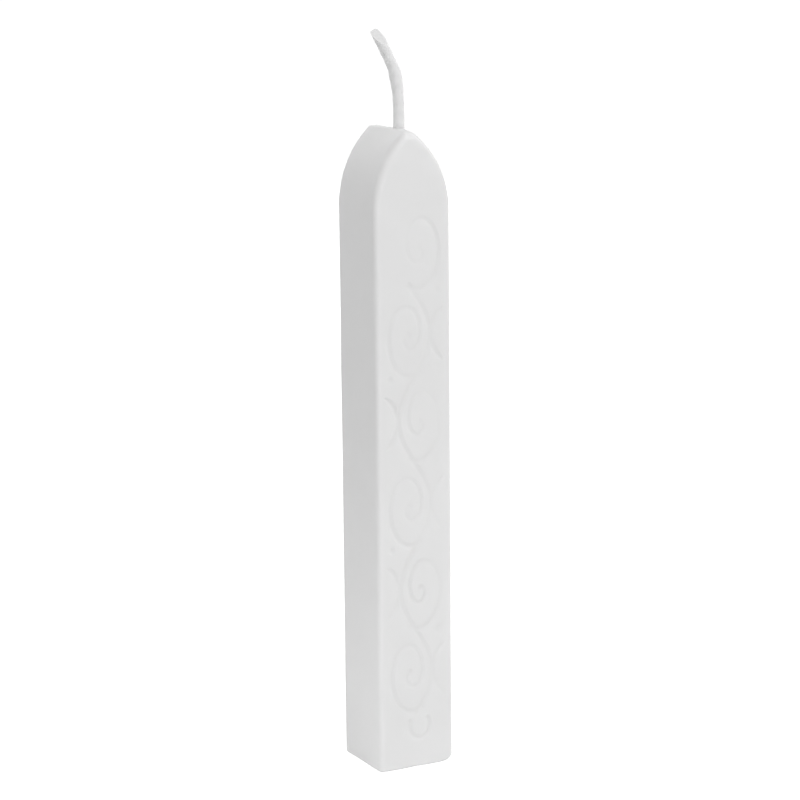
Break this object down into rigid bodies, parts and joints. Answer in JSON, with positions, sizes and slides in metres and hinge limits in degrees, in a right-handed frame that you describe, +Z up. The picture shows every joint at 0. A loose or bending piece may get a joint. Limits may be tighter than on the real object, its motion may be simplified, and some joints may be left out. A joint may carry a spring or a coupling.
{
  "type": "sealing wax stick",
  "caption": "Square cast wax stick with a pointed crown and a plaited wick through its length, lit at the wick to drip wax for seals.",
  "frame": {"origin": "middle of the flat foot, on the plane that the stick stands on", "axes": "+Z up along the stick to the wick, -Y out of the front face, X across the front face, with the crown's ridge along Y"},
  "size_m": [0.0116, 0.011, 0.1035],
  "materials": {
    "wax": "satin",
    "wick": "satin"
  },
  "bodies": {
    "stick": {"wax_bar": "wax", "wick_core": "wick"},
    "wick_stem": {"wick_stem": "wick"},
    "wick_tip": {"wick_tip": "wick"}
  },
  "joints": [
    {"name": "wick_root_bend", "type": "hinge", "parent": "stick", "child": "wick_stem", "pos_m": [0, -0.0018, 0.09098], "axis": [0, 1, 0], "range_deg": [-80, 80]},
    {"name": "wick_crease_bend", "type": "hinge", "parent": "wick_stem", "child": "wick_tip", "pos_m": [-0.00059, -0.0018, 0.09791], "axis": [0, 1, 0], "range_deg": [-70, 45]}
  ]
}
